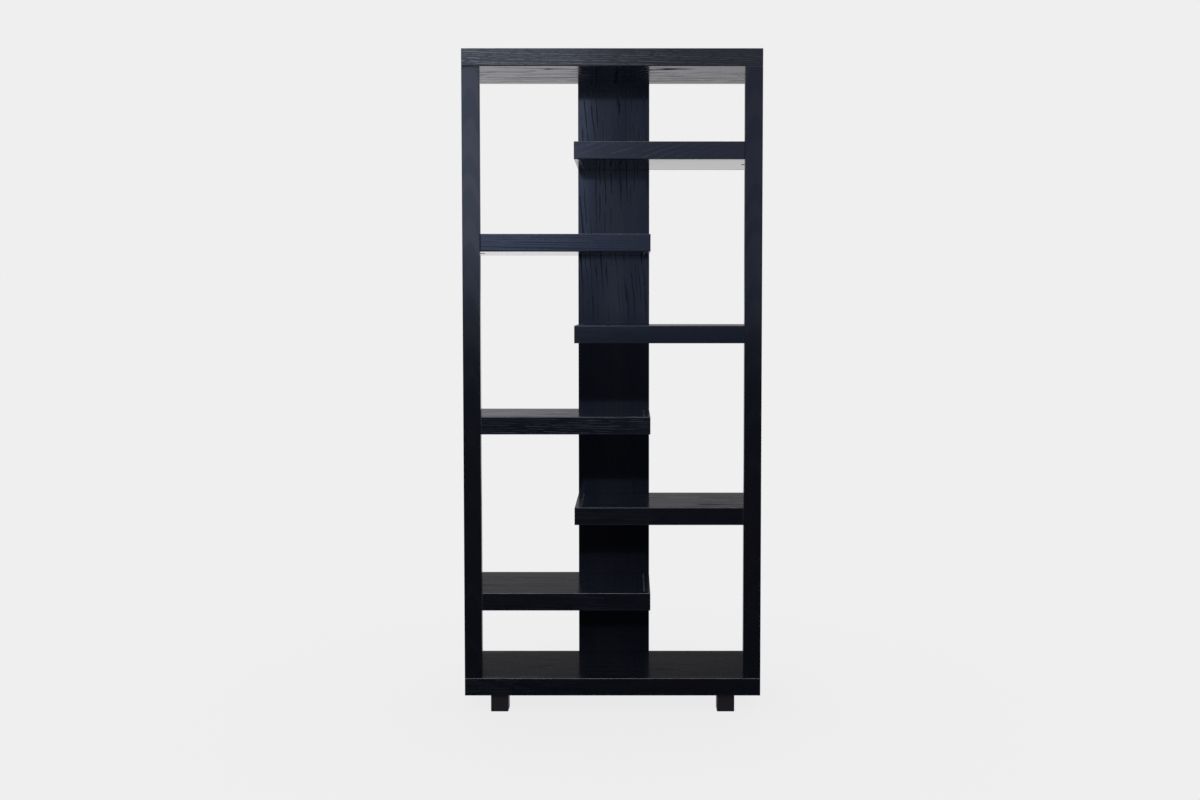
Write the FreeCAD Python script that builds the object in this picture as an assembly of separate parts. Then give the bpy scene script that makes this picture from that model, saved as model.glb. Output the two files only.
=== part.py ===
import FreeCAD, Part
import os

Vector = FreeCAD.Vector

# Staircase bookcase in stained oak: hollow shelves that step left and right in turn up a narrow
# back spine, in a frame of two sides, a bottom panel and a top panel on four block feet.
# Millimetres, +Z up, the front faces -Y, the origin is on the floor under the middle.

# Overall size
overall_width = 850.0
overall_depth = 350.0
overall_height = 1895.0

# Hollow panels: the bottom, six shelves and the top, each two skins on ribs inside lippings
panel_thickness = 50.0
skin_thickness = 8.0
front_lipping_depth = 25.0
rear_lipping_depth = 25.0
end_lipping_thickness = 16.0
rib_width = 40.0
shelf_rib_count = 3
deck_rib_count = 5

# Shelves from the bottom up; the lowest steps are a little lower than the rest
lower_step = 247.0
lower_step_count = 2
shelf_names = ("left_low", "right_low", "left_middle", "right_middle", "left_high", "right_high")

# Sides: a thin board with a wide stile along its front edge
side_board_thickness = 16.0
stile_width = 50.0

# Back spine, screwed to the rear edge of every panel
spine_width = 217.0
spine_thickness = 22.0
spine_reveal = 3.0

# Block feet on felt pads, under the bottom panel
foot_side = 50.0
foot_height = 49.0
foot_end_inset = 74.0
foot_edge_inset = 9.0
foot_block_reach = 30.0
pad_diameter = 30.0
pad_thickness = 2.0

# Eased edges: on the lippings, boards and feet, and on the skins where they meet a lipping
arris_radius = 1.2
joint_arris_radius = 0.4

# Dowels across the glued joints
dowel_diameter = 8.0
dowel_length = 30.0
dowel_bite = 10.0
dowel_chamfer = 1.0
stile_dowel_shares = (0.05, 0.23, 0.41, 0.59, 0.77, 0.95)
side_dowel_shares = (0.15, 0.85)
shelf_dowel_shares = (0.2, 0.8)

# Cam fittings that pull the sides to the top and bottom, and the shelves to the sides
cam_diameter = 15.0
cam_height = 12.5
cam_setback = 24.0
cam_bolt_depth = 8.0
cam_slot_length = 9.0
cam_slot_width = 1.6
cam_slot_depth = 2.5
cam_bolt_diameter = 6.0
cam_bolt_bite = 11.0
cam_head_length = 3.0
cam_neck_diameter = 3.6
cam_neck_length = 4.0
cam_head_room = 0.3
cam_cap_diameter = 17.0
cam_cap_thickness = 1.0
cam_cap_round = 0.6
cam_cap_peg_diameter = 1.4
cam_cap_peg_length = 2.0
side_cam_shares = (0.3, 0.7)
shelf_cam_share = 0.5

# Countersunk screws through the spine
screw_diameter = 5.0
screw_length = 45.0
screw_head_diameter = 10.0
screw_head_height = 2.8
screw_tip_length = 6.0
screw_slot_length = 5.5
screw_slot_width = 1.2
screw_slot_depth = 1.6
screw_sink = 0.3
spine_screw_share = 0.3

# Double-ended screws between the feet and the bottom panel
foot_screw_diameter = 8.0
foot_screw_length = 54.0
foot_screw_bite = 26.0
foot_screw_tip_length = 5.0

# Room in the holes, and how far a cut runs past a face
hole_room = 0.05
hole_end_room = 1.0
overrun = 1.0
same_place = 0.001

# Planes that the pieces share
half_width = overall_width / 2
front_plane = -overall_depth / 2
rear_plane = overall_depth / 2
panel_rear = rear_plane - spine_thickness
core_front = front_plane + front_lipping_depth
core_rear = panel_rear - rear_lipping_depth
side_inner = half_width - side_board_thickness
stile_inner = half_width - stile_width
spine_edge = spine_width / 2

# Underside of each panel, from the bottom panel to the top panel, in equal upper steps
stand_height = pad_thickness + foot_height
bottom_underside = stand_height
top_underside = overall_height - panel_thickness
deck_level = bottom_underside + panel_thickness
step_count = len(shelf_names) + 1
upper_rise = top_underside - bottom_underside - lower_step * lower_step_count
upper_step = upper_rise / (step_count - lower_step_count)
undersides = [bottom_underside]
for step_number in range(step_count):
    rise = lower_step if step_number < lower_step_count else upper_step
    undersides.append(undersides[-1] + rise)

# Finished pieces by name, like pieces in a group by name, and the holes to cut in each
pieces = {}
groups = {}
holes = {}


def block(across, along, upward):
    """Box between two places on each axis, given in either order."""
    low = Vector(min(across), min(along), min(upward))
    size = Vector(max(across), max(along), max(upward)) - low
    return Part.makeBox(size.x, size.y, size.z, low)


def eased(shape, radius, *faces):
    """Rounds the rim of each flat face, which is named by its axis and its place on that axis."""
    rim = []
    for edge in shape.Edges:
        for axis, place in faces:
            if all(abs(getattr(corner.Point, axis) - place) < same_place for corner in edge.Vertexes):
                rim.append(edge)
                break
    return shape.makeFillet(radius, rim)


def rod(start, direction, diameter, length):
    """Round bar from a point along a direction."""
    return Part.makeCylinder(diameter / 2, length, start, direction)


def place_along(start, stop, share):
    """Place between two others, as a share of the way."""
    return start + (stop - start) * share


def side_word(side):
    """Word for a side, which is -1 for left and 1 for right."""
    return "left" if side < 0 else "right"


def aimed(shape, position, direction):
    """Copy of a shape made along +Z from the origin, moved to a point and turned to a direction."""
    turned = shape.copy()
    turned.Placement = FreeCAD.Placement(position, FreeCAD.Rotation(Vector(0, 0, 1), direction))
    return turned


def bore(node, start, direction, diameter, depth):
    """Notes a round hole to cut in a node, from a face inwards."""
    hole = rod(start - direction * overrun, direction, diameter, depth + overrun)
    holes.setdefault(node, []).append(hole)


def cross_slot(length, width, depth):
    """Two crossed bars below the origin's plane, for a driver's slot in a face that looks up +Z."""
    first = block((-length / 2, length / 2), (-width / 2, width / 2), (-depth, overrun))
    second = block((-width / 2, width / 2), (-length / 2, length / 2), (-depth, overrun))
    return first.fuse(second)


# Fastener shapes, each made once

def make_dowel():
    """Beech dowel with chamfered ends, along +Z."""
    dowel = rod(Vector(), Vector(0, 0, 1), dowel_diameter, dowel_length)
    return dowel.makeChamfer(dowel_chamfer, [edge for edge in dowel.Edges if edge.Closed])


def make_cam():
    """Cam disc with its mouth up +Z, its bolt's pocket along +X and the bolt's axis at the origin."""
    cam = rod(Vector(0, 0, cam_bolt_depth), Vector(0, 0, -1), cam_diameter, cam_height)
    slot = cross_slot(cam_slot_length, cam_slot_width, cam_slot_depth)
    slot.translate(Vector(0, 0, cam_bolt_depth))
    pocket_diameter = cam_bolt_diameter + 2 * cam_head_room
    pocket = rod(Vector(-cam_head_room, 0, 0), Vector(1, 0, 0), pocket_diameter, cam_diameter)
    return cam.cut([slot, pocket])


def make_cam_cap():
    """Thin cap over a cam's mouth, in the cam's own place, with a peg into its slot."""
    mouth = Vector(0, 0, cam_bolt_depth)
    disc = rod(mouth, Vector(0, 0, 1), cam_cap_diameter, cam_cap_thickness)
    face = cam_bolt_depth + cam_cap_thickness
    disc = eased(disc, cam_cap_round, ("z", face))
    peg = rod(mouth, Vector(0, 0, -1), cam_cap_peg_diameter, cam_cap_peg_length)
    return disc.fuse(peg)


def make_cam_bolt():
    """Bolt for a cam along +X: its head at the origin, a neck, a shank to the joint and a thread."""
    along = Vector(1, 0, 0)
    shank_start = cam_head_length + cam_neck_length
    head = rod(Vector(), along, cam_bolt_diameter, cam_head_length)
    neck = rod(along * cam_head_length, along, cam_neck_diameter, cam_neck_length)
    shank = rod(along * shank_start, along, cam_bolt_diameter, cam_setback + cam_bolt_bite - shank_start)
    return head.fuse([neck, shank]).removeSplitter()


def make_spine_screw():
    """Countersunk wood screw that points down -Z, its head's flat face at the origin."""
    down = Vector(0, 0, -1)
    tip_start = screw_length - screw_tip_length
    head = Part.makeCone(screw_head_diameter / 2, screw_diameter / 2, screw_head_height, Vector(), down)
    shank = rod(down * screw_head_height, down, screw_diameter, tip_start - screw_head_height)
    tip = Part.makeCone(screw_diameter / 2, 0, screw_tip_length, down * tip_start, down)
    slot = cross_slot(screw_slot_length, screw_slot_width, screw_slot_depth)
    return head.fuse([shank, tip]).removeSplitter().cut(slot)


def make_foot_screw():
    """Screw with a point at both ends, along +Z."""
    upward = Vector(0, 0, 1)
    shank_length = foot_screw_length - 2 * foot_screw_tip_length
    shank_start = upward * foot_screw_tip_length
    shank = rod(shank_start, upward, foot_screw_diameter, shank_length)
    lower_tip = Part.makeCone(foot_screw_diameter / 2, 0, foot_screw_tip_length, shank_start, -upward)
    upper_start = shank_start + upward * shank_length
    upper_tip = Part.makeCone(foot_screw_diameter / 2, 0, foot_screw_tip_length, upper_start, upward)
    return shank.fuse([lower_tip, upper_tip]).removeSplitter()


dowel_shape = make_dowel()
cam_shape = make_cam()
cam_bolt_shape = make_cam_bolt()
cam_cap_shape = make_cam_cap()
spine_screw_shape = make_spine_screw()
foot_screw_shape = make_foot_screw()


# Joints: each sets its fastener in place and notes the holes that it needs

def fit_dowel(joint, direction, shallow_node, deep_node):
    """Dowel across a joint face, with its short end in the node that direction points into."""
    deep = dowel_length - dowel_bite
    hole_diameter = dowel_diameter + 2 * hole_room
    groups.setdefault("joint_dowels", []).append(aimed(dowel_shape, joint - direction * deep, direction))
    bore(shallow_node, joint, direction, hole_diameter, dowel_bite + hole_end_room)
    bore(deep_node, joint, -direction, hole_diameter, deep + hole_end_room)


def fit_cam(joint, direction, mouth, cam_nodes, bolt_node):
    """Capped cam and bolt across a joint: the thread goes along direction, the cam opens along mouth."""
    centre = joint - direction * cam_setback
    turn = FreeCAD.Rotation(direction, mouth.cross(direction), mouth)
    fittings = {"cam_discs": cam_shape, "cam_bolts": cam_bolt_shape, "cam_caps": cam_cap_shape}
    for node, shape in fittings.items():
        fitting = shape.copy()
        fitting.Placement = FreeCAD.Placement(centre, turn)
        groups.setdefault(node, []).append(fitting)
    hole_diameter = cam_bolt_diameter + 2 * hole_room
    for node in cam_nodes:
        bore(node, centre + mouth * cam_bolt_depth, -mouth, cam_diameter + 2 * hole_room, cam_height)
        bore(node, joint, -direction, hole_diameter, cam_setback)
    bore(bolt_node, joint, direction, hole_diameter, cam_bolt_bite + hole_end_room)


def fit_spine_screw(across, upward, node):
    """Screw from the back through the spine into a panel's rear lipping."""
    inward = Vector(0, -1, 0)
    face = Vector(across, rear_plane, upward)
    head = face + inward * screw_sink
    groups.setdefault("spine_screws", []).append(aimed(spine_screw_shape, head, -inward))
    hole_diameter = screw_diameter + 2 * hole_room
    head_seat = Part.makeCone(screw_head_diameter / 2 + hole_room, screw_diameter / 2 + hole_room,
                              screw_head_height, head, inward)
    holes.setdefault("back_spine", []).append(head_seat)
    bore("back_spine", face, inward, screw_head_diameter + 2 * hole_room, screw_sink)
    bore("back_spine", face, inward, hole_diameter, spine_thickness + overrun)
    joint = Vector(across, panel_rear, upward)
    bore(node, joint, inward, hole_diameter, screw_length + screw_sink - spine_thickness + hole_end_room)


# Panels

def make_panel(name, underside, ends, front_ends, lipped, rib_count):
    """Hollow panel between two ends: lippings round it, a skin above and below, and ribs inside."""
    topside = underside + panel_thickness
    height = (underside, topside)
    core_ends = [ends[0], ends[1]]
    front = block(front_ends, (front_plane, core_front), height)
    front_faces = [("y", front_plane)]
    for number, inwards in enumerate((1, -1)):
        if not lipped[number]:
            continue
        core_ends[number] = ends[number] + inwards * end_lipping_thickness
        lipping = block((ends[number], core_ends[number]), (core_front, panel_rear), height)
        side_name = ("left", "right")[number]
        pieces[f"{name}_{side_name}_end_lipping"] = eased(
            lipping, arris_radius, ("x", ends[number]), ("y", panel_rear))
        front_faces.append(("x", front_ends[number]))
    pieces[f"{name}_front_lipping"] = eased(front, arris_radius, *front_faces)
    rear = block(core_ends, (core_rear, panel_rear), height)
    pieces[f"{name}_rear_lipping"] = eased(rear, arris_radius, ("y", panel_rear))
    skin_area = (core_ends, (core_front, core_rear))
    upper = block(*skin_area, (topside - skin_thickness, topside))
    lower = block(*skin_area, (underside, underside + skin_thickness))
    pieces[f"{name}_upper_skin"] = eased(upper, joint_arris_radius, ("z", topside))
    pieces[f"{name}_lower_skin"] = eased(lower, joint_arris_radius, ("z", underside))
    core_height = (underside + skin_thickness, topside - skin_thickness)
    rib_spacing = (core_ends[1] - core_ends[0] - rib_width) / (rib_count - 1)
    for number in range(rib_count):
        rib_start = core_ends[0] + number * rib_spacing
        rib = block((rib_start, rib_start + rib_width), (core_front, core_rear), core_height)
        groups.setdefault("core_ribs", []).append(rib)
    for screw_side in (-1, 1):
        fit_spine_screw(screw_side * spine_screw_share * spine_width, underside + panel_thickness / 2,
                        f"{name}_rear_lipping")


def make_shelf(name, side, underside):
    """Shelf from a side board to the far edge of the spine, with its joints to the side."""
    ends = (-side_inner, spine_edge) if side < 0 else (-spine_edge, side_inner)
    front_ends = (-stile_inner, spine_edge) if side < 0 else (-spine_edge, stile_inner)
    make_panel(name, underside, ends, front_ends, (side > 0, side < 0), shelf_rib_count)
    outward = Vector(side, 0, 0)
    middle = underside + panel_thickness / 2
    stile_name = f"{side_word(side)}_stile"
    board_name = f"{side_word(side)}_side_board"
    front_joint = Vector(side * stile_inner, front_plane + front_lipping_depth / 2, middle)
    fit_dowel(front_joint, outward, stile_name, f"{name}_front_lipping")
    for share in shelf_dowel_shares:
        along = place_along(core_front, core_rear, share)
        fit_dowel(Vector(side * side_inner, along, middle), outward, board_name, "core_ribs")
    cam_along = place_along(core_front, core_rear, shelf_cam_share)
    bolt = Vector(side * side_inner, cam_along, underside + cam_bolt_depth)
    fit_cam(bolt, outward, Vector(0, 0, -1), (f"{name}_lower_skin", "core_ribs"), board_name)


# Sides, spine and feet

def make_side(side):
    """Side board and stile between the bottom and top panels, with the joints at their ends."""
    word = side_word(side)
    stile_name = f"{word}_stile"
    board_name = f"{word}_side_board"
    outer = side * half_width
    height = (deck_level, top_underside)
    board = block((outer, side * side_inner), (core_front, panel_rear), height)
    stile = block((outer, side * stile_inner), (front_plane, core_front), height)
    pieces[board_name] = eased(board, arris_radius, ("x", outer), ("y", panel_rear))
    stile_faces = (("x", outer), ("x", side * stile_inner), ("y", front_plane))
    pieces[stile_name] = eased(stile, arris_radius, *stile_faces)
    board_middle = side * (half_width - side_board_thickness / 2)
    bolt_line = side * (side_inner + cam_bolt_depth)
    stile_middle = side * (half_width - stile_width / 2)
    lipping_middle = front_plane + front_lipping_depth / 2
    for share in stile_dowel_shares:
        joint = Vector(board_middle, core_front, place_along(deck_level, top_underside, share))
        fit_dowel(joint, Vector(0, -1, 0), stile_name, board_name)
    for panel, level, upright in (("bottom", deck_level, -1), ("top", top_underside, 1)):
        outward = Vector(0, 0, upright)
        end_lipping = f"{panel}_{word}_end_lipping"
        stile_joint = Vector(stile_middle, lipping_middle, level)
        fit_dowel(stile_joint, outward, f"{panel}_front_lipping", stile_name)
        for share in side_dowel_shares:
            along = place_along(core_front, panel_rear, share)
            fit_dowel(Vector(board_middle, along, level), outward, end_lipping, board_name)
        for share in side_cam_shares:
            along = place_along(core_front, panel_rear, share)
            bolt = Vector(bolt_line, along, level)
            fit_cam(bolt, outward, Vector(-side, 0, 0), (board_name,), end_lipping)


def make_spine():
    """Board up the back, eased all round, a little short of the panels at both ends."""
    height = (bottom_underside + spine_reveal, overall_height - spine_reveal)
    spine = block((-spine_edge, spine_edge), (panel_rear, rear_plane), height)
    pieces["back_spine"] = eased(spine, arris_radius, ("y", panel_rear), ("y", rear_plane))


def make_foot(side, end):
    """Block foot with its felt pad below, and its screw and solid block in the bottom panel."""
    across = side * (half_width - foot_end_inset - foot_side / 2)
    edge = front_plane if end == "front" else panel_rear
    inward = 1 if end == "front" else -1
    along = edge + inward * (foot_edge_inset + foot_side / 2)
    half = foot_side / 2
    foot_height_span = (pad_thickness, stand_height)
    foot = block((across - half, across + half), (along - half, along + half), foot_height_span)
    foot_name = f"{end}_{side_word(side)}_foot"
    pieces[foot_name] = eased(
        foot, arris_radius, ("x", across - half), ("x", across + half), ("z", pad_thickness))
    pad = rod(Vector(across, along, 0), Vector(0, 0, 1), pad_diameter, pad_thickness)
    groups.setdefault("felt_pads", []).append(pad)
    block_outer = side * (half_width - end_lipping_thickness - rib_width)
    block_edge = core_front if end == "front" else core_rear
    core_height = (bottom_underside + skin_thickness, deck_level - skin_thickness)
    solid = block((block_outer, across - side * foot_block_reach),
                  (block_edge, along + inward * foot_block_reach), core_height)
    groups.setdefault("foot_blocks", []).append(solid)
    joint = Vector(across, along, stand_height)
    upward = Vector(0, 0, 1)
    screw_reach = foot_screw_length - foot_screw_bite
    groups.setdefault("foot_screws", []).append(
        aimed(foot_screw_shape, joint - upward * foot_screw_bite, upward))
    hole_diameter = foot_screw_diameter + 2 * hole_room
    bore(foot_name, joint, -upward, hole_diameter, foot_screw_bite + hole_end_room)
    bore("bottom_lower_skin", joint, upward, hole_diameter, skin_thickness + overrun)
    bore("foot_blocks", joint, upward, hole_diameter, screw_reach + hole_end_room)


full_width = (-half_width, half_width)
both_ends = (True, True)
make_panel("bottom", bottom_underside, full_width, full_width, both_ends, deck_rib_count)
make_panel("top", top_underside, full_width, full_width, both_ends, deck_rib_count)
for shelf_number, shelf_name in enumerate(shelf_names):
    shelf_side = -1 if shelf_name.startswith("left") else 1
    make_shelf(f"{shelf_name}_shelf", shelf_side, undersides[shelf_number + 1])
make_spine()
for one_side in (-1, 1):
    make_side(one_side)
    for one_end in ("front", "rear"):
        make_foot(one_side, one_end)

# Cut the holes and write each node
os.makedirs("parts", exist_ok=True)
for node_name, solid_piece in pieces.items():
    groups[node_name] = [solid_piece]
for node_name, solids in groups.items():
    node_holes = holes.get(node_name, [])
    finished = [solid.cut(node_holes) if node_holes else solid for solid in solids]
    whole = [solid for shape in finished for solid in shape.Solids]
    node_shape = whole[0] if len(whole) == 1 else Part.makeCompound(whole)
    node_shape.exportStep(f"parts/{node_name}.step")
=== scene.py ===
from math import pi, radians

import bmesh
import bpy
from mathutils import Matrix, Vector


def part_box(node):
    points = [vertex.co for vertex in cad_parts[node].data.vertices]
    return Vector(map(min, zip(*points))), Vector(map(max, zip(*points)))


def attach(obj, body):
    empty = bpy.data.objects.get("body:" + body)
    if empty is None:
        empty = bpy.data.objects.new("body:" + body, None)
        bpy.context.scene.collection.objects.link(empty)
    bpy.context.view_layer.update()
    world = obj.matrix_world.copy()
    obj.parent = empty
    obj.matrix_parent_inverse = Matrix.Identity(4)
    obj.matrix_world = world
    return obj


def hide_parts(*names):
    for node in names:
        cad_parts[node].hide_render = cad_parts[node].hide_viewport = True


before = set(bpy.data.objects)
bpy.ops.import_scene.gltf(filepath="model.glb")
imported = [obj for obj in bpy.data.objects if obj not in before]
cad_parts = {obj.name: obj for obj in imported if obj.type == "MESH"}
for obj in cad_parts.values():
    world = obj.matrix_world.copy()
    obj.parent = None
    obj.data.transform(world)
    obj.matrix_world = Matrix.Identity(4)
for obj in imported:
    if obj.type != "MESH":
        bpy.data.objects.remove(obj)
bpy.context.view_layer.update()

# Ribs and foot blocks: planed softwood strips glued between the two skins of every hollow panel,
# and solid blocks of the same timber where the feet are screwed on. Raw and pale, with darker late wood.
softwood_pale = (0.56, 0.38, 0.20, 1)
softwood_late = (0.34, 0.18, 0.075, 1)
softwood_roughness = 0.7
softwood_rings_per_metre = (220, 0, 130)
softwood_ring_sway = 16
softwood_sways_per_metre = 3.0
softwood_fibres_per_metre = (420, 9, 420)
softwood_late_levels = (0.35, 0.95)
softwood_late_share = 0.8
softwood_fibre_share = 0.35
softwood_relief = 0.0002


def add_node(tree, kind, inputs, **settings):
    """Adds a node with its settings; each input is a plain value or the socket to link from."""
    node = tree.nodes.new(kind)
    for setting, value in settings.items():
        setattr(node, setting, value)
    for socket, value in inputs.items():
        if isinstance(value, bpy.types.NodeSocket):
            tree.links.new(value, node.inputs[socket])
        else:
            node.inputs[socket].default_value = value
    return node


def reckon(tree, operation, first, second=0.0):
    """Sum, product or other plain calculation on two values."""
    return add_node(tree, "ShaderNodeMath", {0: first, 1: second}, operation=operation).outputs[0]


def stretched(tree, place, rates):
    """Place multiplied axis by axis, so that a pattern runs long along the grain."""
    return add_node(tree, "ShaderNodeVectorMath", {0: place, 1: rates}, operation="MULTIPLY").outputs[0]


def noise(tree, place, scale=1.0, detail=2.0):
    """Smooth noise from 0 to 1."""
    inputs = {"Vector": place, "Scale": scale, "Detail": detail}
    return add_node(tree, "ShaderNodeTexNoise", inputs).outputs["Fac"]


def ramp(tree, value, start, stop, low=0.0, high=1.0):
    """Smooth change from low to high as a value goes between two levels."""
    inputs = {"Value": value, "From Min": start, "From Max": stop, "To Min": low, "To Max": high}
    return add_node(tree, "ShaderNodeMapRange", inputs, interpolation_type="SMOOTHSTEP").outputs["Result"]


def blended(tree, share, first, second):
    """Colour between two others."""
    return add_node(tree, "ShaderNodeMix", {0: share, 6: first, 7: second}, data_type="RGBA").outputs[2]


def start_material(name, **constants):
    """New material, its node tree and its shader with these plain values, _ being a space in a name."""
    material = bpy.data.materials.new(name)
    material.use_nodes = True
    shader = material.node_tree.nodes["Principled BSDF"]
    for socket, value in constants.items():
        shader.inputs[socket.replace("_", " ")].default_value = value
    return material, material.node_tree, shader


def raise_relief(tree, shader, height, depth):
    """Bumps the surface by a height from 0 to 1 that stands for a depth in metres."""
    bump = add_node(tree, "ShaderNodeBump", {"Height": height, "Distance": depth, "Strength": 1.0})
    tree.links.new(bump.outputs["Normal"], shader.inputs["Normal"])


def object_place(tree):
    """Place on the piece in metres, in the frame that all pieces share."""
    return tree.nodes.new("ShaderNodeTexCoord").outputs["Object"]


def dress_node(node, material):
    """Gives a part of the frame its finish."""
    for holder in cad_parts[node].material_slots:
        holder.material = material


softwood, tree, shader = start_material("raw_softwood", Roughness=softwood_roughness)
place = object_place(tree)
cross_place = stretched(tree, place, softwood_rings_per_metre)
turns = add_node(tree, "ShaderNodeSeparateXYZ", {0: cross_place}).outputs
rings = reckon(tree, "ADD", turns["X"], turns["Z"])
sway = reckon(tree, "MULTIPLY", noise(tree, place, scale=softwood_sways_per_metre), softwood_ring_sway)
phase = reckon(tree, "FRACT", reckon(tree, "ADD", rings, sway))
late_wood = ramp(tree, phase, *softwood_late_levels)
fibre = noise(tree, stretched(tree, place, softwood_fibres_per_metre))
late_share = reckon(tree, "MULTIPLY", late_wood, softwood_late_share)
fibre_share = reckon(tree, "MULTIPLY", fibre, softwood_fibre_share)
timber = blended(tree, late_share, softwood_pale, softwood_late)
timber = blended(tree, fibre_share, timber, softwood_late)
tree.links.new(timber, shader.inputs["Base Color"])
raise_relief(tree, shader, reckon(tree, "ADD", fibre, late_wood), softwood_relief)
for node in ("core_ribs", "foot_blocks"):
    dress_node(node, softwood)

# Bottom panel: solid oak lippings butted and glued round the edge, with a veneered skin above and below.
# The oak is stained blue-black, its pores left open, and finished with a thin satin lacquer.
stain_blue = (0.0037, 0.0045, 0.0068, 1)
stain_violet = (0.0047, 0.0044, 0.0066, 1)
stain_dark_pore = (0.0028, 0.0032, 0.0047, 1)
# Painted shade: darker colour along joints and lower front edges, where shadow falls.
joint_shade_paint = (0.0012, 0.0013, 0.0019, 1)
stain_pale_pore = (0.0220, 0.0235, 0.0280, 1)
# Painted highlight: a pale colour on upward-facing arrises and joint lines, where the eased edges catch
# light.
arris_highlight_paint = (0.34, 0.33, 0.33, 1)
lacquer_bend = 1.5
arris_radius = 0.0012
joint_arris_radius = 0.0004
arris_segments = 3
round_angle = radians(40)
front_depth = 0.7 * arris_radius
joint_shade_reach = 0.0045
joint_shade_dulling = 0.5
joint_reach = 0.005
flat_share = 0.9999
highlight_from_share = 0.3
highlight_rise_rate = 1.8
skin_highlight_share = 0.15
joint_highlight_share = 0.9
arris_highlight_paint_share = 0.8
same_place = 0.00001
log_length = 2.7
heart_across = (0.05, 0.06)
heart_through = (0.045, 0.05)
golden_share = 0.618034
plastic_share = 0.754878
oak_sways_per_metre = (4, 13, 13)
oak_spread_rate = 0.45
oak_spread = 1.5
oak_return_levels = (0.92, 1.0)
oak_break_stretch = (1, 6, 6)
oak_break_levels = (0.40, 0.52)
oak_patches_per_metre = (3, 14, 14)
oak_patch_levels = (0.36, 0.58, 0.4, 1.0)
oak_pores_per_metre = (60, 1200, 1200)
oak_pore_levels = (0.64, 0.72)
oak_pores_in_dashes = 0.2
oak_band_levels = (-0.4, 0.4)
oak_tones_per_metre = (1.3, 10, 10)
oak_tone_levels = (0.3, 0.7)
oak_fibres_per_metre = (14, 480, 480)
oak_fibre_depth = 0.35
oak_dash_depth = 0.35
highlight_breaks_per_metre = 38.0
highlight_break_levels = (0.25, 0.70, 0.35, 1.0)
glint_left = -0.45
glint_right = 0.3
glint_lost_share = 0.9
dull_from_height = 1.05
dull_to_height = 1.15


def hold(piece):
    """Makes a piece the only one that is selected."""
    bpy.ops.object.select_all(action="DESELECT")
    bpy.context.view_layer.objects.active = piece
    piece.select_set(True)


def select_rims(piece, rims):
    """In edit mode, selects the edges round flat faces, each face given by its axis and place."""
    bpy.ops.mesh.select_mode(type="EDGE")
    bpy.ops.mesh.select_all(action="DESELECT")
    shape = bmesh.from_edit_mesh(piece.data)
    for edge in shape.edges:
        ends = [corner.co for corner in edge.verts]
        edge.select_set(any(all(abs(end[axis] - at) < same_place for end in ends) for axis, at in rims))
    bmesh.update_edit_mesh(piece.data)


def end_places(node, ends):
    """Axis number and place of each end of a node that is given by axis and by low or high."""
    low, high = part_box(node)
    numbers = ["xyz".index(axis) for axis, _ in ends]
    return [(number, (low if end == "low" else high)[number]) for number, (_, end) in zip(numbers, ends)]


def saw_board(node, radius, *faces):
    """Board in a node's place, eased round the faces that are given by axis and by low or high end."""
    low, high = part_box(node)
    bpy.ops.object.select_all(action="DESELECT")
    bpy.ops.mesh.primitive_cube_add(size=1, location=(low + high) / 2)
    board = bpy.context.object
    board.scale = high - low
    bpy.ops.object.transform_apply(location=True, rotation=True, scale=True)
    bpy.ops.object.mode_set(mode="EDIT")
    select_rims(board, end_places(node, faces))
    bpy.ops.mesh.bevel(offset=radius, segments=arris_segments, profile=0.5, affect="EDGES")
    bpy.ops.object.mode_set(mode="OBJECT")
    return board


def score_board(board, node, edges, reach):
    """Scores lines round a board, each as far from one of its ends as given, for marks to fade out at."""
    low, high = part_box(node)
    hold(board)
    bpy.ops.object.mode_set(mode="EDIT")
    for axis, at in edges:
        spot = (low + high) / 2
        spot[axis] = at + (reach if at < spot[axis] else -reach)
        square_on = Vector((0, 0, 0))
        square_on[axis] = 1
        bpy.ops.mesh.select_all(action="SELECT")
        bpy.ops.mesh.bisect(plane_co=spot, plane_no=square_on)
    bpy.ops.object.mode_set(mode="OBJECT")


def paint_joint_shade(board, node, *ends):
    """Notes where shade is painted on the front, along these ends and fading out in a few millimetres."""
    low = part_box(node)[0]
    edges = end_places(node, ends)
    score_board(board, node, edges, joint_shade_reach)
    marks = board.data.attributes.new("painted_joint_shade", "FLOAT", "POINT")
    for corner in board.data.vertices:
        on_front = corner.co.y < low.y + front_depth
        by_end = any(abs(corner.co[axis] - at) < arris_radius + same_place for axis, at in edges)
        if on_front and by_end:
            marks.data[corner.index].value = 1.0


def ease_board(board, front_share=1.0, highlight_joints=()):
    """Shades arrises round and notes how much painted highlight they take: most where they look up, none
    below.

    Joints given by axis and place take the painted highlight along their whole length.
    """
    hold(board)
    highlight_mark = board.data.attributes.new("highlight_mark", "FLOAT", "POINT")
    on_flats = set()
    for face in board.data.polygons:
        if max(abs(part) for part in face.normal) > flat_share:
            on_flats.update(face.vertices)
    for corner in board.data.vertices:
        if corner.index not in on_flats:
            share = front_share if abs(corner.normal.y) > abs(corner.normal.x) else 1.0
            looking_up = highlight_rise_rate * (corner.normal.z - highlight_from_share)
            highlight_mark.data[corner.index].value = share * min(max(looking_up, 0.0), 1.0)
        if any(abs(corner.co[axis] - at) < joint_arris_radius + same_place for axis, at in highlight_joints):
            highlight_mark.data[corner.index].value = joint_highlight_share
    bpy.ops.object.shade_smooth_by_angle(angle=round_angle)
    board.modifiers.new("flat_faces", "WEIGHTED_NORMAL").keep_sharp = True
    bpy.ops.object.modifier_apply(modifier="flat_faces")


def copy_piece(piece, offset):
    """Another piece like one that is made already, with its own mesh, moved by an offset."""
    hold(piece)
    bpy.ops.object.duplicate(linked=False)
    twin = bpy.context.object
    twin.location = offset
    bpy.ops.object.transform_apply(location=True, rotation=True, scale=True)
    return twin


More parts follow.
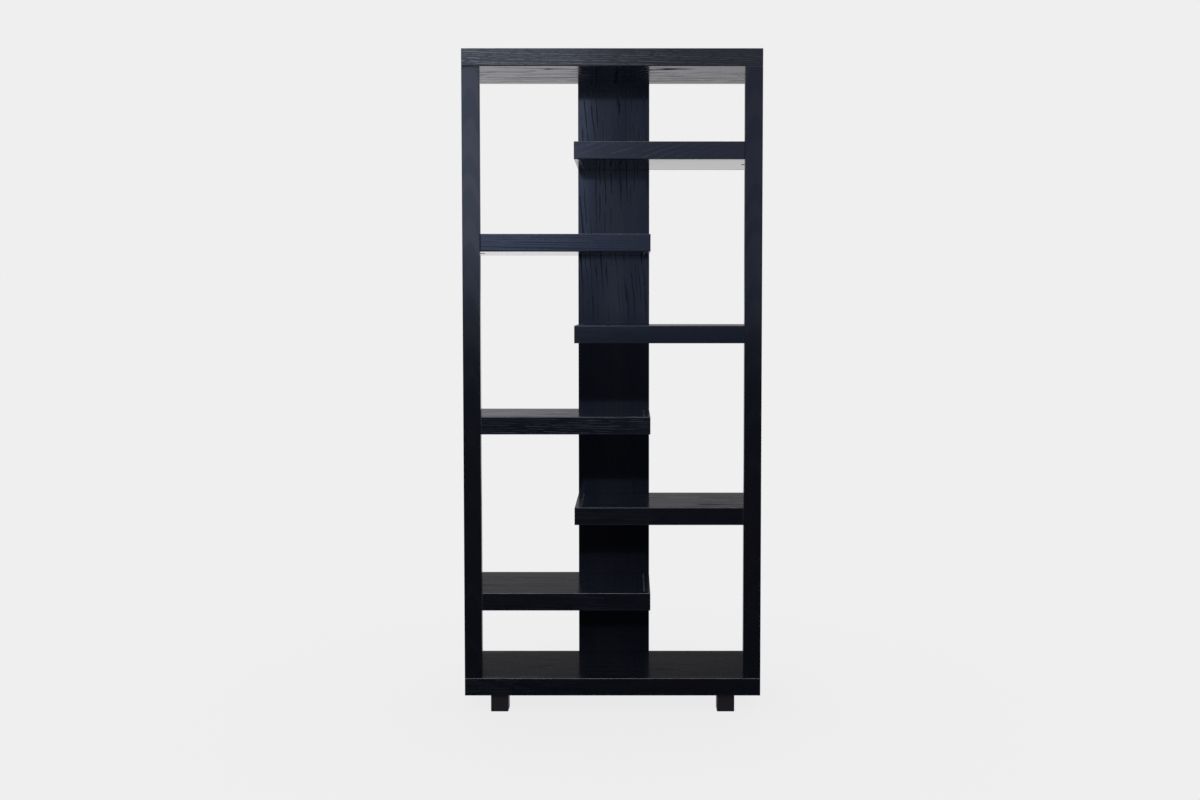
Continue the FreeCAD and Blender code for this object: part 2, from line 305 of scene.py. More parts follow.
def mark_log_place(board, node, grain, number, heart):
    """Notes where in its log each corner was, in metres along, across and through the grain."""
    low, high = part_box(node)
    middle = (low + high) / 2
    along, across, through = ("xyz".index(axis) for axis in grain)
    log_along = log_length * number
    if heart is None:
        least_across, spread_across = heart_across
        least_through, spread_through = heart_through
        heart = (least_across + spread_across * (number * golden_share % 1),
                 least_through + spread_through * (number * plastic_share % 1))
    log_across, log_through = heart
    marks = board.data.attributes.new("log_place", "FLOAT_VECTOR", "POINT")
    for corner in board.data.vertices:
        spot = corner.co - middle
        marks.data[corner.index].vector = (
            spot[along] + log_along, spot[across] + log_across, spot[through] + log_through)


def open_group(name, inputs, outputs):
    """New node group with these input and output sockets, and its input and output nodes' sockets."""
    group = bpy.data.node_groups.new(name, "ShaderNodeTree")
    for socket_name, kind in inputs:
        group.interface.new_socket(socket_name, in_out="INPUT", socket_type=kind)
    for socket_name in outputs:
        group.interface.new_socket(socket_name, in_out="OUTPUT", socket_type="NodeSocketFloat")
    return group, group.nodes.new("NodeGroupInput").outputs, group.nodes.new("NodeGroupOutput").inputs


def make_oak_figure():
    """Oak at a place in its log: early wood broken up into dashes, pores, ring bands, tone and relief."""
    values = ("Ring Width", "Taper", "Sway", "Line Share", "Break Rate")
    inputs = [("Log Place", "NodeSocketVector")] + [(value, "NodeSocketFloat") for value in values]
    group, given, result = open_group("oak_figure", inputs, ("Pore", "Dash", "Band", "Tone", "Relief"))
    place = given["Log Place"]
    cross_place = stretched(group, place, (0, 1, 1))
    radius = add_node(group, "ShaderNodeVectorMath", {0: cross_place}, operation="LENGTH").outputs["Value"]
    along = add_node(group, "ShaderNodeSeparateXYZ", {0: place}).outputs["X"]
    radius = reckon(group, "ADD", radius, reckon(group, "MULTIPLY", along, given["Taper"]))
    sway = reckon(group, "SUBTRACT", noise(group, stretched(group, place, oak_sways_per_metre)), 0.5)
    radius = reckon(group, "ADD", radius, reckon(group, "MULTIPLY", sway, given["Sway"]))
    rings = reckon(group, "DIVIDE", radius, given["Ring Width"])
    inputs = {"W": rings, "Scale": oak_spread_rate}
    uneven = add_node(group, "ShaderNodeTexNoise", inputs, noise_dimensions="1D").outputs["Fac"]
    spread = reckon(group, "MULTIPLY", uneven, oak_spread)
    phase = reckon(group, "FRACT", reckon(group, "ADD", rings, spread))
    early = ramp(group, phase, 0.0, given["Line Share"], 1.0, 0.0)
    early = reckon(group, "MAXIMUM", early, ramp(group, phase, *oak_return_levels))
    broken = noise(group, stretched(group, place, oak_break_stretch), scale=given["Break Rate"], detail=3.0)
    patches = noise(group, stretched(group, place, oak_patches_per_metre))
    dash = reckon(group, "MULTIPLY", early, ramp(group, broken, *oak_break_levels))
    dash = reckon(group, "MULTIPLY", dash, ramp(group, patches, *oak_patch_levels))
    pits = noise(group, stretched(group, place, oak_pores_per_metre), detail=1.0)
    pits = reckon(group, "ADD", pits, reckon(group, "MULTIPLY", dash, oak_pores_in_dashes))
    pore = ramp(group, pits, *oak_pore_levels)
    fibre = noise(group, stretched(group, place, oak_fibres_per_metre), detail=2.0)
    turn = reckon(group, "COSINE", reckon(group, "MULTIPLY", phase, 2 * pi))
    band = ramp(group, turn, *oak_band_levels)
    tone = ramp(group, noise(group, stretched(group, place, oak_tones_per_metre)), *oak_tone_levels)
    hollow = reckon(group, "ADD", pore, reckon(group, "MULTIPLY", dash, oak_dash_depth))
    hollow = reckon(group, "ADD", hollow, reckon(group, "MULTIPLY", fibre, oak_fibre_depth))
    group.links.new(pore, result["Pore"])
    group.links.new(dash, result["Dash"])
    group.links.new(band, result["Band"])
    group.links.new(tone, result["Tone"])
    group.links.new(reckon(group, "SUBTRACT", 1.0, hollow), result["Relief"])
    return group


def make_painted_arris_highlight():
    """Painted highlight on the arrises, in patches a few centimetres long."""
    inputs = (("Highlight Mark", "NodeSocketFloat"), ("Place", "NodeSocketVector"))
    group, given, result = open_group("painted_arris_highlight", inputs, ("Highlight",))
    patches = noise(group, given["Place"], scale=highlight_breaks_per_metre, detail=3.0)
    highlight = reckon(group, "MULTIPLY", given["Highlight Mark"], ramp(group, patches, *highlight_break_levels))
    group.links.new(highlight, result["Highlight"])
    return group


oak_figure = make_oak_figure()
painted_arris_highlight = make_painted_arris_highlight()


def read_mark(tree, mark, output):
    """What was noted on the corners of the board."""
    return add_node(tree, "ShaderNodeAttribute", {}, attribute_name=mark).outputs[output]


def painted_highlight_share(tree):
    """Share of the painted highlight here."""
    inputs = {"Highlight Mark": read_mark(tree, "highlight_mark", "Fac"), "Place": object_place(tree)}
    return add_node(tree, "ShaderNodeGroup", inputs, node_tree=painted_arris_highlight).outputs["Highlight"]


def stain_oak(name, tint, grain_colour, ring_width, taper, sway, line_share, break_rate, dash_share,
              pore_share, band_share, coat_share, glint, dulling, gloss, roughness, relief,
              low_dulling=None):
    """Blue-black stained oak under a satin lacquer of uneven thickness, with open pores and painted light:
    shade painted in the joints and highlights painted on the arrises.

    Taper and sway bend the rings along the board. Early wood takes up the line share of each ring and is
    broken up into dashes at a rate per metre. Dashes and pores show the grain's colour by their shares.
    More lacquer lies in clouds and on ring bands by the coat's and the band's share. Glint makes dashes
    bright on the left of the case, where the lamp is, and paints the grain's colour lighter there, a painted
    highlight that fades out to the right. Dulling makes the open grain rough. A low dulling, where one is
    given, takes its place on the lower half of the case.
    """
    material, tree, shader = start_material(
        name, Specular_Tint=tint, IOR=lacquer_bend, Specular_IOR_Level=gloss, Coat_IOR=lacquer_bend,
        Coat_Roughness=roughness)
    inputs = {"Log Place": read_mark(tree, "log_place", "Vector"), "Ring Width": ring_width, "Taper": taper,
              "Sway": sway, "Line Share": line_share, "Break Rate": break_rate}
    figure = add_node(tree, "ShaderNodeGroup", inputs, node_tree=oak_figure).outputs
    painted_joint_shade = read_mark(tree, "painted_joint_shade", "Fac")
    pores = reckon(tree, "MULTIPLY", figure["Pore"], pore_share)
    open_grain = reckon(tree, "MAXIMUM", pores, reckon(tree, "MULTIPLY", figure["Dash"], dash_share))
    in_case = add_node(tree, "ShaderNodeSeparateXYZ", {0: object_place(tree)}).outputs
    # Painted highlight: towards the lamp on the left the grain's colour is lighter, fading out to the right.
    lamp_side_share = ramp(tree, in_case["X"], glint_left, glint_right, 1.0, 1.0 - glint_lost_share * glint)
    colour = blended(tree, figure["Tone"], stain_blue, stain_violet)
    colour = blended(tree, reckon(tree, "MULTIPLY", open_grain, lamp_side_share), colour, grain_colour)
    # Painted shade along the joints and lower front edges, also duller and with less lacquer there.
    colour = blended(tree, painted_joint_shade, colour, joint_shade_paint)
    # Painted highlight on the upward arrises and the skins' joint lines.
    colour = blended(tree, reckon(tree, "MULTIPLY", painted_highlight_share(tree), arris_highlight_paint_share), colour, arris_highlight_paint)
    tree.links.new(colour, shader.inputs["Base Color"])
    coat = reckon(tree, "MULTIPLY", figure["Tone"], coat_share)
    coat = reckon(tree, "ADD", coat, reckon(tree, "MULTIPLY", figure["Band"], band_share))
    coat = reckon(tree, "MULTIPLY", coat, reckon(tree, "SUBTRACT", 1.0, open_grain))
    glints = reckon(tree, "MULTIPLY", figure["Dash"], reckon(tree, "MULTIPLY", lamp_side_share, glint))
    coat = reckon(tree, "ADD", coat, glints)
    coat = reckon(tree, "MULTIPLY", coat, reckon(tree, "SUBTRACT", 1.0, painted_joint_shade))
    tree.links.new(coat, shader.inputs["Coat Weight"])
    if low_dulling is not None:
        dulling = ramp(tree, in_case["Z"], dull_from_height, dull_to_height, low_dulling, dulling)
    dull = reckon(tree, "MULTIPLY", open_grain, dulling)
    dull = reckon(tree, "ADD", dull, reckon(tree, "MULTIPLY", painted_joint_shade, joint_shade_dulling))
    tree.links.new(reckon(tree, "ADD", dull, roughness), shader.inputs["Roughness"])
    raise_relief(tree, shader, figure["Relief"], relief)
    return material


lipping_oak = stain_oak(
    "stained_lipping_oak", (0.44, 0.57, 1.0, 1), stain_pale_pore, ring_width=0.0055, taper=0.03, sway=0.016,
    line_share=0.45, break_rate=12, dash_share=0.65, pore_share=0.1, band_share=0.0, coat_share=0.2,
    glint=1.0, dulling=0.06, gloss=0.46, roughness=0.19, relief=0.00003)
veneer_oak = stain_oak(
    "stained_veneer_oak", (0.60, 0.70, 1.0, 1), stain_dark_pore, ring_width=0.013, taper=0.03, sway=0.016,
    line_share=0.36, break_rate=9, dash_share=0.7, pore_share=0.15, band_share=0.0, coat_share=0.0,
    glint=0.0, dulling=0.45, gloss=0.50, roughness=0.14, relief=0.000005)


def fit_piece(piece, name, node, material):
    """Gives a piece its name and finish and sets it in the place of its node."""
    piece.name = name
    piece.data.name = name
    piece.data.materials.append(material)
    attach(piece, "root")
    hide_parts(node)


def fit_oak(board, node, grain, material, number, heart=None):
    """Fits an oak board, its grain along, across and through these axes, its log's heart so far off."""
    mark_log_place(board, node, grain, number, heart)
    fit_piece(board, f"oak_{node}", node, material)


def make_panel(panel, lipped_ends, butted_ends=()):
    """Lippings and skins of one hollow panel, each with its grain and finish."""
    boards = {}
    front_faces = [("y", "low")]
    for word, end in lipped_ends:
        part = f"{word}_end_lipping"
        board = saw_board(f"{panel}_{part}", arris_radius, ("x", end), ("y", "high"))
        boards[part] = (board, "yzx", lipping_oak)
        front_faces.append(("x", end))
    front = saw_board(f"{panel}_front_lipping", arris_radius, *front_faces)
    # Painted shade along the lower front edge and along any end that butts against a stile.
    paint_joint_shade(front, f"{panel}_front_lipping", ("z", "low"), *butted_ends)
    boards["front_lipping"] = (front, "xzy", lipping_oak)
    rear = saw_board(f"{panel}_rear_lipping", arris_radius, ("y", "high"))
    boards["rear_lipping"] = (rear, "xzy", lipping_oak)
    for board, _, _ in boards.values():
        ease_board(board)
    for part, end in (("upper_skin", "high"), ("lower_skin", "low")):
        board = saw_board(f"{panel}_{part}", joint_arris_radius, ("z", end))
        joints = end_places(f"{panel}_{part}", [("x", free_end) for _, free_end in lipped_ends])
        score_board(board, f"{panel}_{part}", joints, joint_reach)
        ease_board(board, front_share=skin_highlight_share, highlight_joints=joints)
        boards[part] = (board, "xyz", veneer_oak)
    return boards


def copy_panel(boards, panel, twin_panel):
    """Another panel like one that is made already, in its own place."""
    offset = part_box(f"{twin_panel}_front_lipping")[0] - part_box(f"{panel}_front_lipping")[0]
    return {part: (copy_piece(board, offset), grain, material)
            for part, (board, grain, material) in boards.items()}


def fit_panel(panel, boards, number):
    """Fits the boards of one panel, the panels being numbered from the bottom up."""
    for place, (part, (board, grain, material)) in enumerate(boards.items(), 1):
        fit_oak(board, f"{panel}_{part}", grain, material, 10 * number + place)


bottom_boards = make_panel("bottom", (("left", "low"), ("right", "high")))
top_boards = copy_panel(bottom_boards, "bottom", "top")
fit_panel("bottom", bottom_boards, 0)

# Feet: square hardwood blocks under the corners of the bottom panel, lacquered black over a fine grain.
# Each is sawn, eased on its sides and below, and held by a double-ended screw up into the panel.
foot_black = (0.0066, 0.0058, 0.0080, 1)
foot_brown = (0.0092, 0.0078, 0.0098, 1)
foot_sheen = (0.90, 0.84, 1.0, 1)
foot_roughness = 0.42
foot_fibre_dulling = 0.12
foot_highlight_share = 0.4
foot_fibres_per_metre = (900, 900, 30)
foot_fibre_levels = (0.3, 0.7)
foot_relief = 0.00008
foot_lacquer, tree, shader = start_material("black_foot_lacquer", IOR=lacquer_bend, Specular_Tint=foot_sheen)
fibre = noise(tree, stretched(tree, object_place(tree), foot_fibres_per_metre), detail=3.0)
colour = blended(tree, ramp(tree, fibre, *foot_fibre_levels), foot_black, foot_brown)
# Painted highlight on the upward arrises of the foot.
colour = blended(tree, reckon(tree, "MULTIPLY", painted_highlight_share(tree), foot_highlight_share), colour, arris_highlight_paint)
tree.links.new(colour, shader.inputs["Base Color"])
dull = reckon(tree, "MULTIPLY", fibre, foot_fibre_dulling)
tree.links.new(reckon(tree, "ADD", dull, foot_roughness), shader.inputs["Roughness"])
raise_relief(tree, shader, fibre, foot_relief)
feet = [f"{end}_{word}_foot" for end in ("front", "rear") for word in ("left", "right")]
first_foot = saw_board(feet[0], arris_radius, ("x", "low"), ("x", "high"), ("z", "low"))
ease_board(first_foot)
blocks = [first_foot]
for node in feet[1:]:
    blocks.append(copy_piece(first_foot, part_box(node)[0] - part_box(feet[0])[0]))
for node, block in zip(feet, blocks):
    fit_piece(block, f"lacquered_{node}", node, foot_lacquer)

# Foot screws and felt pads: zinc plated steel screws, pointed at both ends, join each foot to the panel.
# Round pads of pressed wool felt are stuck under the feet, so that they slide on a floor.
zinc_bright = (0.56, 0.58, 0.61, 1)
zinc_dull = (0.38, 0.39, 0.40, 1)
zinc_blotches_per_metre = 320.0
zinc_blotch_levels = (0.3, 0.7)
zinc_scratches_per_metre = (2600, 2600, 300)
zinc_roughness_levels = (0.2, 0.8, 0.22, 0.5)
zinc_relief = 0.00004
felt_dark = (0.010, 0.010, 0.011, 1)
felt_light = (0.055, 0.053, 0.052, 1)
felt_tufts_per_metre = 900.0
felt_tuft_levels = (0.35, 0.75)
felt_roughness = 0.95
felt_sheen = 0.3
felt_relief = 0.0005
zinc, tree, shader = start_material("zinc_plate", Metallic=1.0)
blotches = noise(tree, object_place(tree), scale=zinc_blotches_per_metre, detail=3.0)
scratches = noise(tree, stretched(tree, object_place(tree), zinc_scratches_per_metre), detail=1.0)
colour = blended(tree, ramp(tree, blotches, *zinc_blotch_levels), zinc_bright, zinc_dull)
tree.links.new(colour, shader.inputs["Base Color"])
tree.links.new(ramp(tree, scratches, *zinc_roughness_levels), shader.inputs["Roughness"])
raise_relief(tree, shader, scratches, zinc_relief)
dress_node("foot_screws", zinc)
felt, tree, shader = start_material("pressed_felt", Roughness=felt_roughness, Sheen_Weight=felt_sheen)
tufts = noise(tree, object_place(tree), scale=felt_tufts_per_metre, detail=5.0)
colour = blended(tree, ramp(tree, tufts, *felt_tuft_levels), felt_dark, felt_light)
tree.links.new(colour, shader.inputs["Base Color"])
raise_relief(tree, shader, tufts, felt_relief)
dress_node("felt_pads", felt)

# Sides: a thin veneered board with a solid oak stile, as wide as a panel is thick, along its front edge.
# The stile is dowelled to the board, and both stand between the bottom panel and the top panel.
stile_oak = stain_oak(
    "stained_stile_oak", (0.47, 0.60, 1.0, 1), stain_pale_pore, ring_width=0.022, taper=0.15, sway=0.010,
    line_share=0.30, break_rate=6, dash_share=0.06, pore_share=0.08, band_share=0.10, coat_share=0.2,
    glint=0.0, dulling=0.05, gloss=0.37, roughness=0.19, relief=0.000015)
left_heart = (0.004, 0.05)
right_heart = (-0.006, 0.06)
left_stile = saw_board("left_stile", arris_radius, ("x", "low"), ("x", "high"), ("y", "low"))
# Painted shade along the stile's ends, where it meets the panels.
paint_joint_shade(left_stile, "left_stile", ("z", "low"), ("z", "high"))
ease_board(left_stile)
right_stile = copy_piece(left_stile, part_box("right_stile")[0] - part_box("left_stile")[0])
fit_oak(left_stile, "left_stile", "zxy", stile_oak, 80, left_heart)
fit_oak(right_stile, "right_stile", "zxy", stile_oak, 90, right_heart)
for word, outer, number in (("left", "low", 81), ("right", "high", 91)):
    board = saw_board(f"{word}_side_board", arris_radius, ("x", outer), ("y", "high"))
    ease_board(board)
    fit_oak(board, f"{word}_side_board", "zyx", veneer_oak, number)

# Shelves: three hollow panels from each side, in turn, each as far as the other edge of the spine behind.
# They are made as the bottom panel is, with an end lipping only on the free end and a plain veneer below.
# Three front lippings differ: one has straight dark grain, one pale flecks and one pale sloping lines.
stain_fleck = (0.038, 0.043, 0.056, 1)
stain_line = (0.065, 0.068, 0.076, 1)
straight_oak = stain_oak(
    "stained_straight_oak", (0.44, 0.57, 1.0, 1), stain_dark_pore, ring_width=0.0060, taper=0.01, sway=0.006,
    line_share=0.45, break_rate=6, dash_share=0.9, pore_share=0.2, band_share=0.0, coat_share=0.15,
    glint=0.0, dulling=0.50, gloss=0.58, roughness=0.17, relief=0.00002)
flecked_oak = stain_oak(
    "stained_flecked_oak", (0.44, 0.57, 1.0, 1), stain_fleck, ring_width=0.0055, taper=0.03, sway=0.016,
    line_share=0.40, break_rate=22, dash_share=0.8, pore_share=0.1, band_share=0.0, coat_share=0.2,
    glint=0.0, dulling=0.06, gloss=0.50, roughness=0.19, relief=0.00003)
sloped_oak = stain_oak(
    "stained_sloped_oak", (0.46, 0.58, 1.0, 1), stain_line, ring_width=0.012, taper=-0.22, sway=0.030,
    line_share=0.18, break_rate=11, dash_share=0.85, pore_share=0.05, band_share=0.0, coat_share=0.2,
    glint=1.0, dulling=0.06, gloss=0.46, roughness=0.19, relief=0.00003)
backing_oak = stain_oak(
    "stained_backing_oak", (0.60, 0.70, 1.0, 1), stain_dark_pore, ring_width=0.012, taper=0.02, sway=0.012,
    line_share=0.40, break_rate=11, dash_share=0.5, pore_share=0.1, band_share=0.0, coat_share=0.0,
    glint=0.0, dulling=0.06, gloss=0.50, roughness=0.12, relief=0.000003)
special_fronts = {
    "left_high_shelf": straight_oak,
    "left_middle_shelf": flecked_oak,
    "right_high_shelf": sloped_oak,
}


def change_finish(boards, part, material):
    """Gives one board of a panel another finish."""
    board, grain, _ = boards[part]
    boards[part] = (board, grain, material)


for word, free_word, butted_end, free_end, number in (
        ("left", "right", "low", "high", 1), ("right", "left", "high", "low", 2)):
    first_shelf = f"{word}_low_shelf"
    shelves = {first_shelf: make_panel(first_shelf, ((free_word, free_end),), (("x", butted_end),))}
    for shelf in (f"{word}_middle_shelf", f"{word}_high_shelf"):
        shelves[shelf] = copy_panel(shelves[first_shelf], first_shelf, shelf)
    for step, (shelf, boards) in enumerate(shelves.items()):
        change_finish(boards, "front_lipping", special_fronts.get(shelf, lipping_oak))
        change_finish(boards, "lower_skin", backing_oak)
        fit_panel(shelf, boards, number + 2 * step)

# Top panel: the same hollow panel as the bottom one, laid over the ends of the sides.
# Its front lipping is the best lit board, with glints painted into the open pores of its left end, and its
# lower skin is the one veneer that shows a strong figure.
# Painted highlight: near-white pores that stand in for glints of the lamp in the open grain.
painted_pore_glint = (0.210, 0.212, 0.220, 1)
lit_top_oak = stain_oak(
    "stained_top_oak_painted_glints", (0.62, 0.72, 1.0, 1), painted_pore_glint, ring_width=0.0050, taper=0.02, sway=0.014,
    line_share=0.45, break_rate=40, dash_share=0.9, pore_share=0.2, band_share=0.0, coat_share=0.15,
    glint=1.0, dulling=0.06, gloss=0.46, roughness=0.19, relief=0.00003)
figured_oak = stain_oak(
    "stained_figured_oak", (0.60, 0.70, 1.0, 1), stain_dark_pore, ring_width=0.016, taper=0.04, sway=0.024,
    line_share=0.45, break_rate=12, dash_share=0.95, pore_share=0.2, band_share=0.0, coat_share=0.0,
    glint=0.0, dulling=0.65, gloss=0.50, roughness=0.14, relief=0.000005)
change_finish(top_boards, "front_lipping", lit_top_oak)
change_finish(top_boards, "lower_skin", figured_oak)
fit_panel("top", top_boards, 7)

# Joint fittings: beech dowels and zinc cams with their bolts, all inside the wood once it is put together.
# Only the thin plastic caps over the cams show, in the colour of the stain.
beech_pale = (0.60, 0.42, 0.26, 1)
beech_fleck = (0.36, 0.20, 0.10, 1)
beech_flecks_per_metre = 380.0
beech_fleck_levels = (0.55, 0.7)
beech_roughness = 0.6
cap_colour = (0.0110, 0.0120, 0.0165, 1)
cap_scuff = (0.028, 0.030, 0.036, 1)
cap_bend = 1.46
cap_grains_per_metre = 2200.0
cap_scuffs_per_metre = 160.0
cap_scuff_levels = (0.5, 0.8)
cap_roughness_levels = (0.3, 0.8, 0.13, 0.3)
cap_relief = 0.00005
beech, tree, shader = start_material("raw_beech", Roughness=beech_roughness)
flecks = noise(tree, object_place(tree), scale=beech_flecks_per_metre, detail=2.0)
colour = blended(tree, ramp(tree, flecks, *beech_fleck_levels), beech_pale, beech_fleck)
tree.links.new(colour, shader.inputs["Base Color"])
raise_relief(tree, shader, flecks, softwood_relief)
dress_node("joint_dowels", beech)
for node in ("cam_discs", "cam_bolts"):
    dress_node(node, zinc)
cap_plastic, tree, shader = start_material("cap_plastic", IOR=cap_bend)
grains = noise(tree, object_place(tree), scale=cap_grains_per_metre, detail=2.0)
scuffs = noise(tree, object_place(tree), scale=cap_scuffs_per_metre, detail=4.0)
colour = blended(tree, ramp(tree, scuffs, *cap_scuff_levels), cap_colour, cap_scuff)
tree.links.new(colour, shader.inputs["Base Color"])
tree.links.new(ramp(tree, scuffs, *cap_roughness_levels), shader.inputs["Roughness"])
raise_relief(tree, shader, grains, cap_relief)
dress_node("cam_caps", cap_plastic)

# Spine: one veneered board up the whole back, flush with the free ends of the shelves.
# It is screwed from behind to the rear lipping of every panel, with zinc screws in countersunk seats.
head_radius = 0.005
shank_radius = 0.0025
head_depth = 0.0028
head_sink = 0.0003
head_sides = 32
facing_share = 0.9
clear_of_back = 0.001
screw_shares = (-0.3, 0.3)
spine_heart = (0.16, 0.05)
panels = ("bottom", "left_low_shelf", "right_low_shelf", "left_middle_shelf", "right_middle_shelf",
          "left_high_shelf", "right_high_shelf", "top")


def make_seat_cutter(across, back, height):
    """Cutter for one countersunk seat, of the shape of a screw's head and a little longer at the back."""
    top = back + clear_of_back
    bottom = back - head_sink
    bpy.ops.object.select_all(action="DESELECT")
    bpy.ops.mesh.primitive_cylinder_add(
        vertices=head_sides, radius=head_radius, depth=top - bottom,
        location=(across, (top + bottom) / 2, height), rotation=(radians(-90), 0, 0))
    cutter = bpy.context.object
    bpy.ops.object.transform_apply(location=True, rotation=True, scale=True)
    bpy.ops.object.mode_set(mode="EDIT")
    bpy.ops.mesh.select_mode(type="FACE")
    bpy.ops.mesh.select_all(action="DESELECT")
    shape = bmesh.from_edit_mesh(cutter.data)
    for face in shape.faces:
        face.select_set(face.normal.y < -facing_share)
    bmesh.update_edit_mesh(cutter.data)
    bpy.ops.mesh.extrude_region_move(TRANSFORM_OT_translate={"value": (0, -head_depth, 0)})
    narrowing = shank_radius / head_radius
    tip = (across, bottom - head_depth, height)
    bpy.ops.transform.resize(value=(narrowing, 1, narrowing), center_override=tip)
    bpy.ops.object.mode_set(mode="OBJECT")
    return cutter


spine_oak = stain_oak(
    "stained_spine_oak", (0.43, 0.56, 1.0, 1), stain_dark_pore, ring_width=0.015, taper=0.05, sway=0.040,
    line_share=0.40, break_rate=12, dash_share=0.85, pore_share=0.3, band_share=0.0, coat_share=0.25,
    glint=0.0, dulling=0.55, gloss=0.42, roughness=0.09, relief=0.000005, low_dulling=0.06)
spine = saw_board("back_spine", arris_radius, ("y", "low"), ("y", "high"))
spine_low, spine_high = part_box("back_spine")
seats = []
for panel in panels:
    lipping_low, lipping_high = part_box(f"{panel}_rear_lipping")
    height = (lipping_low.z + lipping_high.z) / 2
    for share in screw_shares:
        seats.append(Vector((share * (spine_high.x - spine_low.x), spine_high.y, height)))
cutters = [make_seat_cutter(*seats[0])]
for seat in seats[1:]:
    cutters.append(copy_piece(cutters[0], seat - seats[0]))
hold(cutters[0])
for cutter in cutters:
    cutter.select_set(True)
bpy.ops.object.join()
hold(spine)
cut = spine.modifiers.new("screw_seats", "BOOLEAN")
cut.operation = "DIFFERENCE"
cut.solver = "EXACT"
cut.object = cutters[0]
bpy.ops.object.modifier_apply(modifier="screw_seats")
bpy.data.objects.remove(cutters[0])
ease_board(spine)
fit_oak(spine, "back_spine", "zxy", spine_oak, 70, spine_heart)
dress_node("spine_screws", zinc)

# Floor: a plain pale studio floor, with only the soft shadow of the bookcase on it.
# The camera sees it in the same even grey as the backdrop, and away from the feet nothing shades it.
pale_grey = (0.863, 0.863, 0.863, 1)
floor_size = 40
shadow_share = 0.07
shadow_start = 0.3
shadow_reach = 1.6
bpy.ops.object.select_all(action="DESELECT")
bpy.ops.mesh.primitive_plane_add(size=floor_size)
floor = bpy.context.object
floor.name = "studio_floor"
floor_paint = bpy.data.materials.new("studio_floor_paint")
floor_paint.use_nodes = True
tree = floor_paint.node_tree
tree.nodes.clear()
place = object_place(tree)
distance = add_node(tree, "ShaderNodeVectorMath", {0: place}, operation="LENGTH").outputs["Value"]
near = ramp(tree, distance, shadow_start, shadow_reach, shadow_share, 0.0)
seen = tree.nodes.new("ShaderNodeLightPath").outputs["Is Camera Ray"]
paint = add_node(tree, "ShaderNodeBsdfDiffuse", {"Color": pale_grey}).outputs[0]
glow = add_node(tree, "ShaderNodeEmission", {"Color": pale_grey, "Strength": 1.0}).outputs[0]
glow_share = reckon(tree, "MULTIPLY", seen, reckon(tree, "SUBTRACT", 1.0, near))
surface = add_node(tree, "ShaderNodeMixShader", {0: glow_share, 1: paint, 2: glow}).outputs[0]
add_node(tree, "ShaderNodeOutputMaterial", {"Surface": surface})
floor.data.materials.append(floor_paint)
floor.visible_glossy = False

# Room: the camera sees plain pale grey all round. The lacquer mirrors a pale backdrop behind the bookcase,
# white where it curves into the floor and darker upwards and to the right, and on the camera's side
# an unlit room, dim at eye level, under a bright ceiling.
room_light = (0.62, 0.62, 0.62, 1)
mirrored_grey = (0.868, 0.842, 0.890, 1)
unlit_room = (0.015, 0.015, 0.015, 1)
dim_room = (0.13, 0.13, 0.13, 1)
lit_sweep = (1.0, 1.0, 1.0, 1)
lit_ceiling = (3.0, 3.0, 3.0, 1)
backdrop_from_front = (-0.6, 0.3)
backdrop_beside = (0.5, 0.9, 0.0, 0.35)
room_from_behind = (-0.2, 0.2, 1.0, 0.0)
dim_from_below = (-0.16, 0.0)
dim_from_above = (0.02, 0.07, 1.0, 0.0)
sweep_from_below = (-0.14, -0.11)
sweep_from_above = (-0.01, 0.03, 1.0, 0.0)
sweep_from_front = (0.6, 0.9)
ceiling_from_below = (0.35, 0.65)
world = bpy.data.worlds.new("studio")
bpy.context.scene.world = world
world.use_nodes = True
tree = world.node_tree
tree.nodes.clear()
toward = tree.nodes.new("ShaderNodeTexCoord").outputs["Generated"]
heading = add_node(tree, "ShaderNodeSeparateXYZ", {0: toward}).outputs
behind = ramp(tree, heading["Y"], *backdrop_from_front)
falling = {"Value": heading["Z"], "From Min": -0.15, "From Max": 0.28, "To Min": 0.645, "To Max": 0.035}
lower = add_node(tree, "ShaderNodeMapRange", falling).outputs["Result"]
sideways = {"Value": heading["X"], "From Min": -0.1, "From Max": 0.1, "To Min": 1.12, "To Max": 0.75}
lower = reckon(tree, "MULTIPLY", lower, add_node(tree, "ShaderNodeMapRange", sideways).outputs["Result"])
beside = ramp(tree, reckon(tree, "ABSOLUTE", heading["X"]), *backdrop_beside)
pale_share = reckon(tree, "MAXIMUM", reckon(tree, "MULTIPLY", behind, lower), beside)
in_front = ramp(tree, heading["Y"], *room_from_behind)
dim_share = reckon(tree, "MULTIPLY", in_front, ramp(tree, heading["Z"], *dim_from_below))
dim_share = reckon(tree, "MULTIPLY", dim_share, ramp(tree, heading["Z"], *dim_from_above))
mirrored = blended(tree, dim_share, unlit_room, dim_room)
mirrored = blended(tree, pale_share, mirrored, mirrored_grey)
sweep_share = ramp(tree, heading["Y"], *sweep_from_front)
for levels in (sweep_from_below, sweep_from_above):
    sweep_share = reckon(tree, "MULTIPLY", sweep_share, ramp(tree, heading["Z"], *levels))
mirrored = blended(tree, sweep_share, mirrored, lit_sweep)
overhead = reckon(tree, "MULTIPLY", ramp(tree, heading["Z"], *ceiling_from_below), in_front)
mirrored = blended(tree, overhead, mirrored, lit_ceiling)
rays = tree.nodes.new("ShaderNodeLightPath").outputs
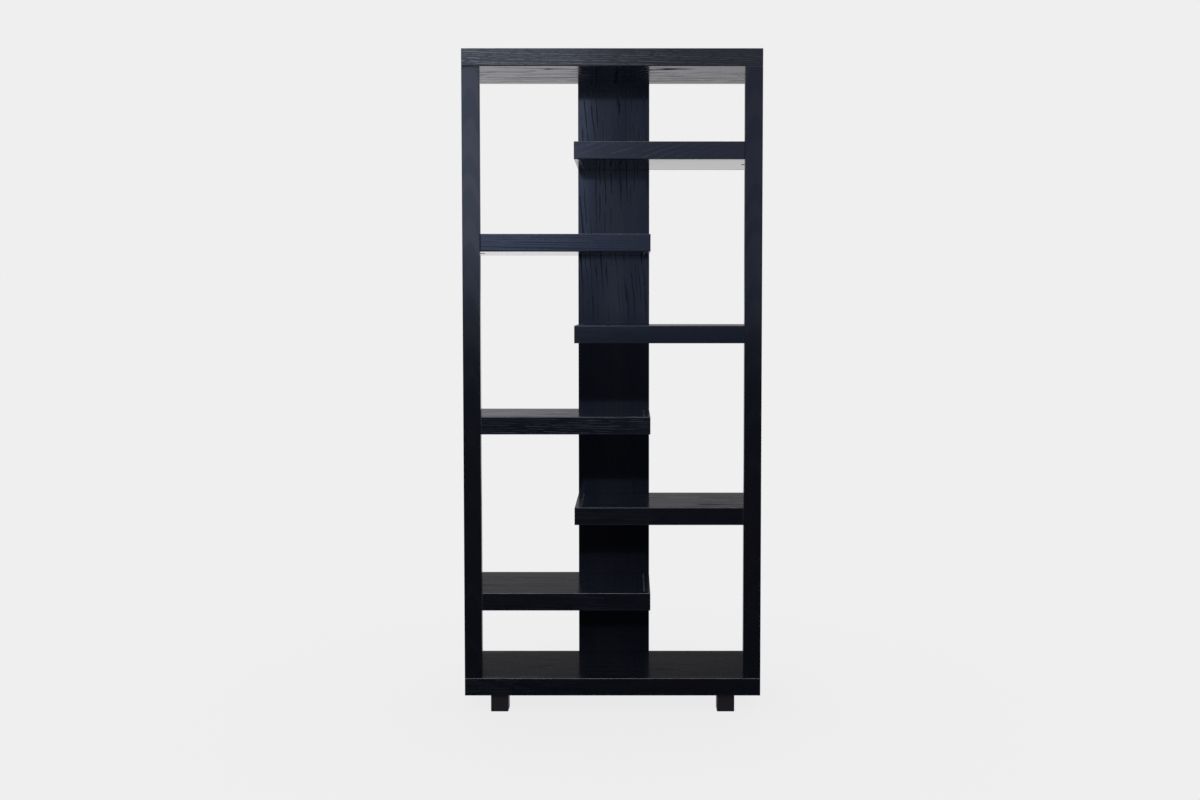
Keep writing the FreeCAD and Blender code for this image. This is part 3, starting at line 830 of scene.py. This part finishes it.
glossy = reckon(tree, "MAXIMUM", rays["Is Glossy Ray"], rays["Is Transmission Ray"])
colour = blended(tree, glossy, room_light, mirrored)
colour = blended(tree, rays["Is Camera Ray"], colour, pale_grey)
backdrop = add_node(tree, "ShaderNodeBackground", {"Color": colour, "Strength": 1.0}).outputs[0]
add_node(tree, "ShaderNodeOutputWorld", {"Surface": backdrop})

# Lamps: a wide scrim over the camera and a softbox on its left, which the wood mirrors in its upper half,
# and a weak softbox over the back that draws the arrises and keeps the rear from going black.


def hang_softbox(name, spot, aim, width, height, watts):
    """Rectangular softbox at a spot, turned to an aim point."""
    lamp = bpy.data.lights.new(name, "AREA")
    lamp.shape = "RECTANGLE"
    lamp.size = width
    lamp.size_y = height
    lamp.energy = watts
    softbox = bpy.data.objects.new(name, lamp)
    softbox.location = spot
    softbox.rotation_euler = (Vector(aim) - Vector(spot)).to_track_quat("-Z", "Y").to_euler()
    softbox.visible_camera = False
    bpy.context.scene.collection.objects.link(softbox)


hang_softbox("key_softbox", spot=(-1.0, -3.4, 2.35), aim=(-0.2, 0, 1.5), width=1.7, height=2.0, watts=14)
hang_softbox("front_scrim", spot=(-0.05, -3.6, 2.16), aim=(-0.05, 0, 1.5), width=3.5, height=2.25, watts=17)
hang_softbox("rear_softbox", spot=(0, 1.4, 3.3), aim=(0, 0, 1.0), width=2.4, height=0.8, watts=14)

# Camera: straight on, a little right of the middle, at about two thirds of the height and tilted down.
# The lens shift keeps the sides upright as far as the other views leave room for it.
camera_spot = (0.056, -4.209, 1.178)
camera_tilt = 2.97
camera_lens = 42.60
camera_shift = (-0.0267, -0.019)
camera_sensor = 36
camera_data = bpy.data.cameras.new("product_camera")
camera_data.sensor_width = camera_sensor
camera_data.lens = camera_lens
camera_data.shift_x, camera_data.shift_y = camera_shift
camera = bpy.data.objects.new("product_camera", camera_data)
camera.location = camera_spot
camera.rotation_euler = (radians(90 - camera_tilt), 0, 0)
bpy.context.scene.collection.objects.link(camera)
bpy.context.scene.camera = camera
bpy.context.scene.view_settings.view_transform = "Standard"
